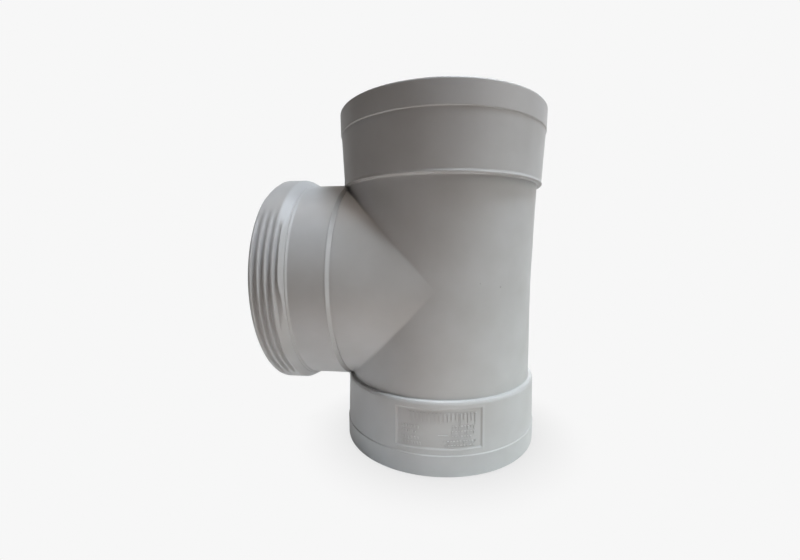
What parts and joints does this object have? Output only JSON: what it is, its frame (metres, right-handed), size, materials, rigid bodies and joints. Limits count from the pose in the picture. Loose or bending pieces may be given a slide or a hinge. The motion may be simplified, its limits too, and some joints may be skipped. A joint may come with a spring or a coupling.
{
  "type": "pipe tee",
  "caption": "One-piece drainage access tee: straight run with a solvent socket at each end and a full-bore side branch whose wide threaded collar takes a screw cap.",
  "frame": {"origin": "centre of the bottom socket's mouth, on the run axis", "axes": "+Z along the run axis to the top socket, -X along the branch axis to its threaded mouth, -Y to the side with the sunk label panel"},
  "size_m": [0.2227, 0.1824, 0.28],
  "materials": {
    "pvc": "satin as-moulded rigid PVC, light grey-white"
  },
  "bodies": {
    "root": {"tee_body": "pvc"}
  },
  "joints": []
}
